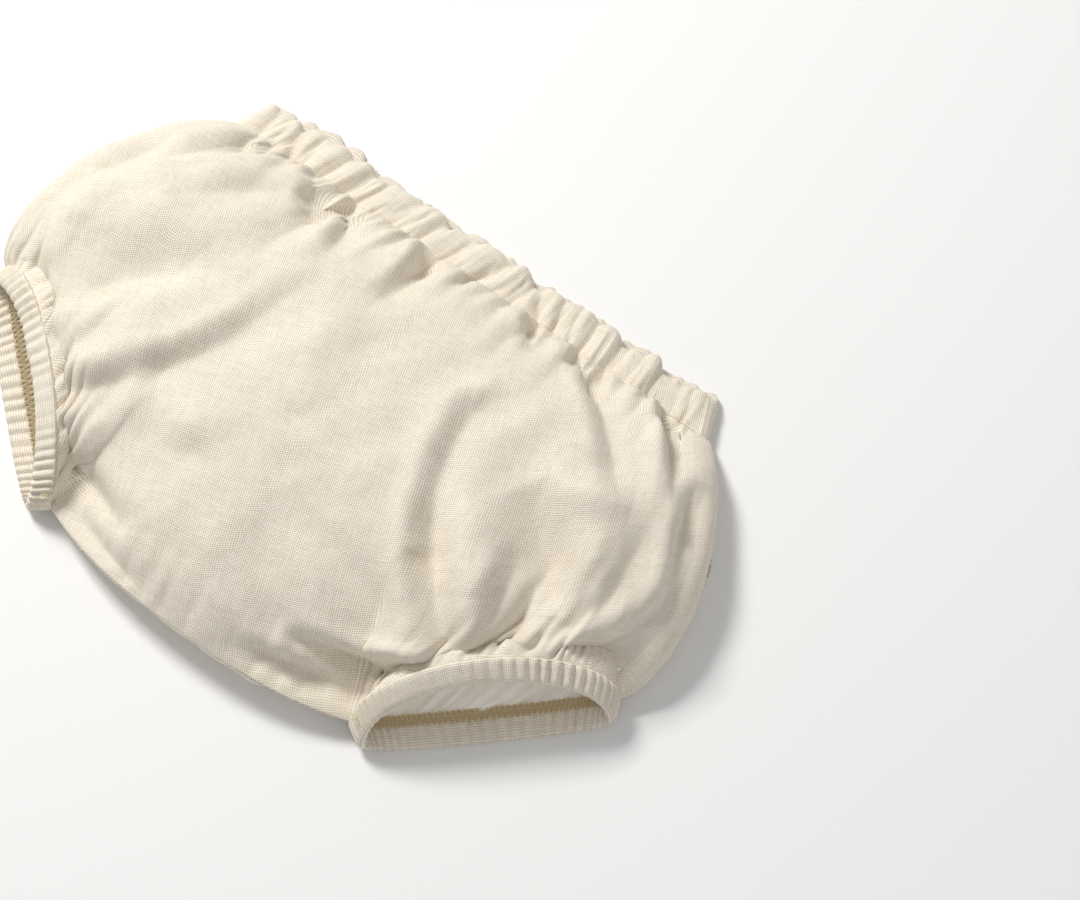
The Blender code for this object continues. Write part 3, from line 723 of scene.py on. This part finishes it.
def thread(name, colour):
    """Twisted sewing thread, with a faint painted glow."""
    material = bpy.data.materials.new(name)
    material.use_nodes = True
    tree = material.node_tree
    shader = tree.nodes["Principled BSDF"]
    place = add(tree, "ShaderNodeTexCoord").outputs["Object"]
    twist = add(tree, "ShaderNodeTexNoise", {"Vector": place, "Scale": 1800.0, "Detail": 1.0})
    dark = tuple(0.55 * channel for channel in colour)
    twisted = twist.outputs["Fac"]
    tone = add(tree, "ShaderNodeMix", {0: twisted, 6: (*dark, 1), 7: (*colour, 1)}, data_type="RGBA")
    tree.links.new(tone.outputs[2], shader.inputs["Base Color"])
    bumped = add(tree, "ShaderNodeBump", {"Height": twisted, "Strength": 0.6, "Distance": 0.0001})
    tree.links.new(bumped.outputs[0], shader.inputs["Normal"])
    # Painted light: the thread glows a little in its own colour, so it stays bright where it lies in shade.
    tree.links.new(tone.outputs[2], shader.inputs["Emission Color"])
    shader.inputs["Emission Strength"].default_value = 0.14
    shader.inputs["Roughness"].default_value = 0.6
    shader.inputs["Sheen Weight"].default_value = 0.2
    return material


# Pieces


def make_front(material):
    """The front panel, its weave slanted as the cloth is drawn towards the legs."""
    s, t = np.meshgrid(columns(*FRONT_COLUMNS), rows(FRONT_ROWS))
    middle = folded_front(s, t)
    x, y = flat_cloth(front_surface(s, t))
    skew = 0.33 * x + 0.0035 * np.maximum(x - 40, 0) ** 2
    weave = np.stack([x + 0.33 * y, y - skew], axis=-1)
    piece = cloth_shell("front_cloth", middle, 1, CLOTH_WALL, weave, material, "front_panel")
    return piece


def make_back(material):
    """The back panel: flat where it lies, and gathered where it turns up to the leg bands."""
    flat = np.linspace(0, TURN_FROM, BACK_ROWS + 1)
    turn = np.linspace(TURN_FROM, 1, TURN_ROWS + 1)
    s, t = np.meshgrid(columns(*BACK_COLUMNS), np.concatenate([flat[:-1], turn]))
    grid = back_surface(s, t)
    normal = grid_normals(grid, -1)
    rumple = 0.5 * ripples(grid[..., 0], grid[..., 1] + grid[..., 2], 21, 26, 10, 40)
    lifted = np.clip((grid[..., 2] - 2) / 5, 0, 1) * np.clip((1 - t) / 0.05, 0, 1)
    ribs = rib_wave(leg_angle(s, -1)) * np.clip((np.abs(s) - CROTCH_SHARE) / 0.02, 0, 1)
    ribs = ribs * np.exp(-((1 - t) / 0.05)) * 0.7
    middle = grid + normal * (rumple * lifted + ribs)[..., None]
    x, y = flat_cloth(middle)
    weave = np.stack([x, y], axis=-1)
    piece = cloth_shell("back_cloth", middle, -1, CLOTH_WALL, weave, material, "back_panel")
    return piece


def make_casing(material):
    """The casing: its front half lies on its back half, and it turns over at each side."""
    turn = np.linspace(0, math.pi, CASING_END_COLUMNS + 2)[1:-1]
    front = np.linspace(1, -1, CASING_FRONT_COLUMNS)
    back = np.linspace(-1, 1, CASING_BACK_COLUMNS)
    share = np.concatenate([front, 0 * turn - 1, back, 0 * turn + 1])
    lift = np.concatenate([0 * front + 1, np.cos(turn), 0 * back - 1, -np.cos(turn)])
    swing = np.concatenate([0 * front, -np.sin(turn), 0 * back, np.sin(turn)])
    radius = (CASING_FRONT_Z - CASING_BACK_Z) / 2
    half = CASING_WALL / 2
    upper_side = [(depth, 1.0) for depth in (0.10, 0.2, 0.32, 0.45, 0.58, 0.7, 0.8, 0.88, 0.94)]
    lower_side = [(depth, -1.0) for depth in (0.9, 0.7, 0.5, 0.3, 0.12)]
    profile = [(0.0, 0.0), (0.015, 0.45), (0.045, 0.8), *upper_side]
    profile += [(0.975, 0.75), (1.0, 0.35), (1.0, -0.4), *lower_side, (0.03, -0.6)]
    sections = []
    for depth, height in profile:
        x = share * (mix(CASING_TOP_HALF, WAIST_SEAM_HALF, depth) - radius - half)
        upper = (1 + lift) / 2
        wave = casing_wave(x, depth) * waist_fade(x)
        peek = BACK_CASING_PEEK * (1 + np.exp(-(((x + 72) / 18) ** 2))) * (1 - upper)
        edge = np.where(upper > 0.5, casing_wave(x, 0.0), casing_wave(x + 6, 0.3))
        scallop = CASING_SCALLOP * (edge - 0.7) * waist_fade(x)
        y = -CASING_DEPTH * depth + (peek + scallop) * (1 - depth) ** 2
        elastic = 0.35 * math.sin(math.pi * depth)
        rise = (CASING_RISE * (wave - CASING_WAVE_LEVEL) + elastic) * upper**2
        z = mix(CASING_BACK_Z, CASING_FRONT_Z, upper) + rise
        thick = half * height * mix(1.0, 0.75, upper * (depth < 0.1))
        outward = points(swing, 0, lift) * np.broadcast_to(thick, x.shape)[:, None]
        sections.append(points(x + radius * swing, y, z) + outward)
    sections = np.stack(sections, axis=1)
    along = lengths(np.linalg.norm(np.diff(sections[:, 5], axis=0), axis=-1), 0)
    around = np.array([depth * CASING_DEPTH * (1 if height > 0 else -1) for depth, height in profile])
    weave = np.stack(np.broadcast_arrays(along[:, None], around[None, :]), axis=-1)
    piece = hoop("waist_casing_cloth", sections, weave, material, "waist_casing")
    return piece


def make_band(name, node, side, material):
    """A folded strip with small pleats, inside and outside."""
    count = BAND_RIBS * RIB_COLUMNS
    angles = np.arange(count) * 2 * math.pi / count
    half = BAND_WALL / 2
    sections = []
    for depth, height in BAND_OUTSIDE + BAND_INSIDE:
        lag = angles + 0.35 / BAND_RIBS * math.sin(5 * depth) * np.sin(3 * angles)
        rib = rib_wave(lag)
        ribbed = height if height > 0 else 0.8 * height
        lift = half * height + BAND_RIB_RISE * (rib - BAND_RIB_LEVEL) * ribbed
        reach = depth + 0.05 * (rib - 0.5) * (depth > 0.8)
        place = ring_surface(angles, reach, side) + ring_normal(angles, depth, side) * lift[:, None]
        sections.append(place)
    sections = np.stack(sections, axis=1)
    along = lengths(np.linalg.norm(np.diff(sections[:, 3], axis=0), axis=-1), 0)
    around = [depth for depth, _ in BAND_OUTSIDE] + [2 - depth for depth, _ in BAND_INSIDE]
    around = np.array(around) * BAND_DEPTH
    weave = np.stack(np.broadcast_arrays(along[:, None] * 1.2, around[None, :]), axis=-1)
    piece = hoop(name, sections, weave, material, node)
    return piece


def lining_under_front(s, t):
    """The front lining hangs below the panel, and lowest beside the seams, where the gathers dip."""
    grid = with_sides(plain_front, s, t, 1)
    down = lengths(np.linalg.norm(np.diff(grid, axis=0), axis=-1), 0)
    from_seam = np.minimum(down, down[-1:] - down)
    grid[..., 2] += crown(s, t) * LINING_CROWN * (1 - np.exp(-from_seam / 14))
    return grid


def make_lining(name, node, surface, face, reach, depths, material):
    """A loose voile layer inside a panel, with soft pleats beside the leg opening."""
    s, share = np.meshgrid(columns(*LINING_COLUMNS) * LINING_REACH, rows(LINING_ROWS))
    corner = np.exp(-(((np.abs(s) - CROTCH_SHARE) / 0.05) ** 2)) + np.clip((np.abs(s) - 0.86) / 0.1, 0, 1)
    t = mix(0.01, reach - 0.05 * corner, share)
    place = surface(s, t)
    normal = grid_normals(place, face)
    down = lengths(np.linalg.norm(np.diff(place, axis=0), axis=-1), 0)
    up = down[-1:] - down
    near_leg = np.clip((np.abs(s) - CROTCH_SHARE) / 0.05, 0, 1) * np.exp(-up / 30)
    pleats = ripples(130 * s, 0.05 * down, 31 + face, 14, 4.5, 12)
    pleats = np.clip(0.8 - np.abs(pleats - 0.3), -0.5, 0.8) * near_leg
    pleats = pleats * mix(0.35, 1.0, np.clip(up / 4, 0, 1))
    inward = mix(*depths, np.clip(up / 6, 0, 1)) + PLEAT_RISE * pleats
    middle = place - normal * inward[..., None]
    x, y = flat_cloth(middle)
    piece = cloth_shell(name, middle, face, VOILE_WALL, np.stack([x, y], axis=-1), material, node)
    return piece


def stitch_line(name, path, radius, material):
    """A thread through a list of points."""
    curve = bpy.data.curves.new(name, "CURVE")
    curve.dimensions = "3D"
    curve.bevel_depth = radius * MM
    curve.bevel_resolution = 2
    for stretch in path:
        spline = curve.splines.new("POLY")
        spline.points.add(len(stretch) - 1)
        for point, place in zip(spline.points, stretch):
            point.co = (place[0] * MM, (place[1] - MIDDLE_Y) * MM, place[2] * MM, 1)
    piece = bpy.data.objects.new(name, curve)
    bpy.context.scene.collection.objects.link(piece)
    curve.materials.append(material)
    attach(piece, "root")
    return piece


def make_overlock(side, material, shaded):
    """Overlocked raw edge of the band seam, on the inside of the leg opening."""

    def across(angle, depth, rise):
        depth = np.asarray(depth, float)
        place = ring_surface(angle, depth, side)
        return place - ring_normal(angle, 0.2 + 0 * depth, side) * (BAND_WALL / 2 + rise)

    stretches = []
    for lag in (0.0, 0.5):
        steps = np.arange(2 * OVERLOCK_LOOPS)
        angles = -math.pi * (steps + lag + 0.5) / (2 * OVERLOCK_LOOPS + 1)
        jitter = np.array([uneven(step, 40 + lag) for step in steps])
        depths = np.where(steps % 2, -0.12, 0.28) + 0.03 * jitter
        rises = np.where(steps % 2, 2.2, 1.3) + 0.3 * lag
        stretches.append(across(angles, depths, rises[:, None]))
    angles = -np.linspace(0.02, math.pi - 0.02, 400)
    under = []
    for depth, rise in OVERLOCK_CHAINS:
        wobble = 0.02 * np.sin(angles * 2 * OVERLOCK_LOOPS)
        under.append(across(angles, depth + wobble, rise))
    name = "right" if side > 0 else "left"
    stitch_line(f"overlock_{name}", stretches, OVERLOCK_LOOP_RADIUS, material)
    stitch_line(f"overlock_chain_{name}", under, OVERLOCK_CHAIN_RADIUS, shaded)


def make_casing_stitches(material):
    """The line of stitches that closes the casing over its elastic."""
    stretches = []
    start = -WAIST_SEAM_HALF + 3
    while start < WAIST_SEAM_HALF - 9:
        x = np.linspace(start, start + CASING_STITCH, 4)
        wave = casing_wave(x, CASING_STITCH_DEPTH) * waist_fade(x)
        rise = CASING_RISE * (wave - CASING_WAVE_LEVEL) + CASING_WALL / 2
        rise = rise + np.array((-0.1, 0.12, 0.12, -0.1))
        stretches.append(points(x, -CASING_DEPTH * CASING_STITCH_DEPTH, CASING_FRONT_Z + rise))
        start += CASING_STITCH_PITCH * CASING_STITCH
    return stitch_line("casing_stitches", stretches, CASING_STITCH_RADIUS, material)


def make_seam_stitches(name, side, material):
    """Small stitches that hold the band to the front panel, in the groove of the seam."""
    stretches = []
    for number in range(SEAM_STITCHES):
        angle = math.pi * (number + 0.5 + 0.2 * uneven(number, 50)) / SEAM_STITCHES
        turn = np.linspace(-0.45, 0.45, 5) * math.pi / SEAM_STITCHES
        rib = rib_wave(angle + turn)
        rise = BAND_WALL / 2 + BAND_RIB_RISE * (rib - BAND_RIB_LEVEL) * 0.6
        rise = rise - 0.3 + 0.2 * np.cos(turn / turn[-1] * 1.5)
        place = ring_surface(angle + turn, 0.07 + 0.03 * uneven(number, 51), side)
        stretches.append(place + ring_normal(angle + turn, 0.1, side) * rise[:, None])
    return stitch_line(name, stretches, SEAM_STITCH_RADIUS, material)


def make_thread_tail(name, side, material):
    """Loose end of thread at the crotch end of a leg band."""
    root = ring_surface(math.pi - 0.25, 0.1, side) + ring_normal(math.pi - 0.25, 0.1, side) * 2.0
    turn = np.linspace(0, 5.2, 26)
    loop = points(1.5 * np.sin(turn) + 0.3 * turn, 1.2 * np.cos(turn) - 1.2, 0.7 * turn**0.7)
    return stitch_line(name, [root + loop * (side, 1, 1)], THREAD_TAIL_RADIUS, material)


def make_stage():
    """A plain white floor."""
    mesh = bpy.data.meshes.new("floor")
    corners = [(x * FLOOR_HALF, y * FLOOR_HALF, 0) for x, y in ((-1, -1), (1, -1), (1, 1), (-1, 1))]
    mesh.from_pydata(corners, [], [(0, 1, 2, 3)])
    floor = bpy.data.objects.new("floor", mesh)
    bpy.context.scene.collection.objects.link(floor)
    material = bpy.data.materials.new("white_floor")
    material.use_nodes = True
    shader = material.node_tree.nodes["Principled BSDF"]
    shader.inputs["Base Color"].default_value = (*FLOOR_COLOUR, 1)
    shader.inputs["Roughness"].default_value = 0.8
    mesh.materials.append(material)


def light(name, place, size, power, colour=(1, 1, 1)):
    lamp = bpy.data.lights.new(name, "AREA")
    lamp.size = size
    lamp.energy = power
    lamp.color = colour
    made = bpy.data.objects.new(name, lamp)
    bpy.context.scene.collection.objects.link(made)
    made.location = place
    made.rotation_euler = (Vector(LIGHT_TARGET) - made.location).to_track_quat("-Z", "Y").to_euler()


def make_light_and_camera():
    light("key", KEY_PLACE, KEY_SIZE, KEY_POWER, KEY_COLOUR)
    light("fill", FILL_PLACE, FILL_SIZE, FILL_POWER)
    world = bpy.data.worlds.new("studio")
    world.use_nodes = True
    background = world.node_tree.nodes["Background"]
    background.inputs["Color"].default_value = (1.0, 1.0, 1.0, 1)
    background.inputs["Strength"].default_value = SKY_STRENGTH
    bpy.context.scene.world = world
    bpy.context.scene.view_settings.view_transform = "Standard"
    data = bpy.data.cameras.new("camera")
    data.lens = CAMERA_LENS
    camera = bpy.data.objects.new("camera", data)
    bpy.context.scene.collection.objects.link(camera)
    back = Vector(
        (
            math.sin(CAMERA_TURN) * math.cos(CAMERA_HEIGHT),
            -math.cos(CAMERA_TURN) * math.cos(CAMERA_HEIGHT),
            math.sin(CAMERA_HEIGHT),
        )
    )
    camera.location = Vector(CAMERA_TARGET) + back * CAMERA_DISTANCE
    camera.rotation_euler = back.to_track_quat("Z", "Y").to_euler()
    bpy.context.scene.camera = camera


def main():
    linen = woven("linen", LINEN_COLOUR, pitch=0.80, gap=1.0, streaks=0.45, bump=0.6, painted_glow=0.02)
    # The voile's painted glow stands in for light shining through it into the leg opening.
    voile = woven("voile", VOILE_COLOUR, pitch=0.45, gap=0.15, streaks=0.1, bump=0.3, painted_glow=0.08)
    golden = thread("golden_thread", GOLDEN_COLOUR)
    shaded = thread("shaded_thread", SHADED_COLOUR)
    cream = thread("cream_thread", CREAM_COLOUR)
    make_stage()
    make_back(linen)
    make_front(linen)
    make_casing(linen)
    make_band("leg_band_cloth_right", "leg_band_right", 1, linen)
    make_band("leg_band_cloth_left", "leg_band_left", -1, linen)
    front_depths, back_depths = FRONT_LINING_DEPTHS, BACK_LINING_DEPTHS
    make_lining("lining_front_cloth", "lining_front", lining_under_front, 1, 0.97, front_depths, voile)
    make_lining("lining_back_cloth", "lining_back", back_surface, -1, 0.985, back_depths, voile)
    make_overlock(1, golden, shaded)
    make_overlock(-1, golden, shaded)
    make_casing_stitches(cream)
    for name, side in (("right", 1), ("left", -1)):
        make_seam_stitches(f"seam_stitches_{name}", side, golden)
        make_thread_tail(f"thread_tail_{name}", side, golden)
    make_light_and_camera()


main()
